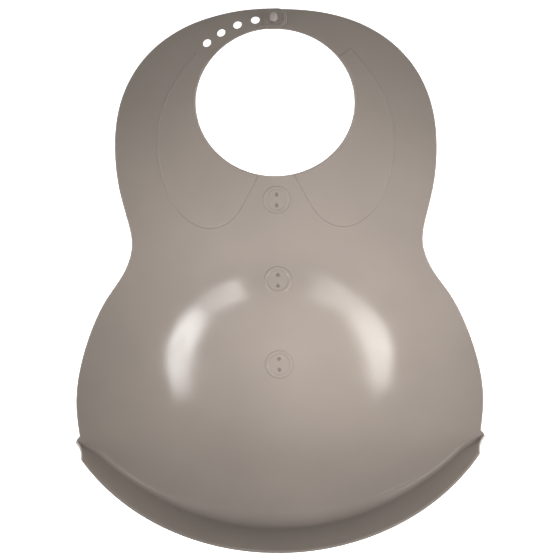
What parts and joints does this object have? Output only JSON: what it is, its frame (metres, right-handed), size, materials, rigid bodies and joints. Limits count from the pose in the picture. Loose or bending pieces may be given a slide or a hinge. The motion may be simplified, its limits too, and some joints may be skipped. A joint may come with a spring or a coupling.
{
  "type": "silicone baby bib",
  "caption": "Soft baby bib with a domed front, a standing crumb pocket, a raised collar and buttons, and neck straps closed by a stud in a row of holes.",
  "frame": {"origin": "centre of the bounding box in plan, at the level of the table that the bib lies on", "axes": "+X to the right as seen from the front, +Y up the bib from the pocket to the straps, +Z out of the front, up from the table"},
  "size_m": [0.2344, 0.3051, 0.0399],
  "materials": {
    "silicone_sheet": "glossy moulded silicone",
    "silicone_relief": "glossy moulded silicone",
    "silicone_stud": "glossy moulded silicone"
  },
  "bodies": {
    "belly": {"belly_panel": "silicone_sheet", "button_middle": "silicone_relief", "button_bottom": "silicone_relief"},
    "pocket": {"pocket_floor": "silicone_sheet", "pocket_wall": "silicone_sheet"},
    "chest": {"chest_panel": "silicone_sheet", "collar_left": "silicone_relief", "collar_right": "silicone_relief", "button_top": "silicone_relief"},
    "neck_loop": {"stud_strap": "silicone_sheet", "closure_stud": "silicone_stud", "hole_strap_root": "silicone_sheet", "collar_left_tail": "silicone_relief", "collar_right_tail": "silicone_relief"},
    "hole_strap_end": {"hole_strap": "silicone_sheet"}
  },
  "joints": [
    {"name": "waist_fold", "type": "hinge", "parent": "belly", "child": "chest", "pos_m": [0, 0.01855, 0.0015], "axis": [1, 0, 0], "range_deg": [0, 130], "stiffness_Nm_per_rad": 0.01},
    {"name": "neck_flex", "type": "hinge", "parent": "chest", "child": "neck_loop", "pos_m": [0, 0.09875, 0.00075], "axis": [1, 0, 0], "range_deg": [-90, 40], "stiffness_Nm_per_rad": 0.005},
    {"name": "hole_strap_lift", "type": "hinge", "parent": "neck_loop", "child": "hole_strap_end", "pos_m": [-0.0465, 0.13015, 0.0015], "axis": [0.8729, -0.4879, 0], "range_deg": [0, 90], "stiffness_Nm_per_rad": 0.002},
    {"name": "pocket_fold", "type": "hinge", "parent": "belly", "child": "pocket", "pos_m": [0, -0.09155, 0.01222], "axis": [-1, 0, 0], "range_deg": [0, 55], "stiffness_Nm_per_rad": 0.02}
  ]
}
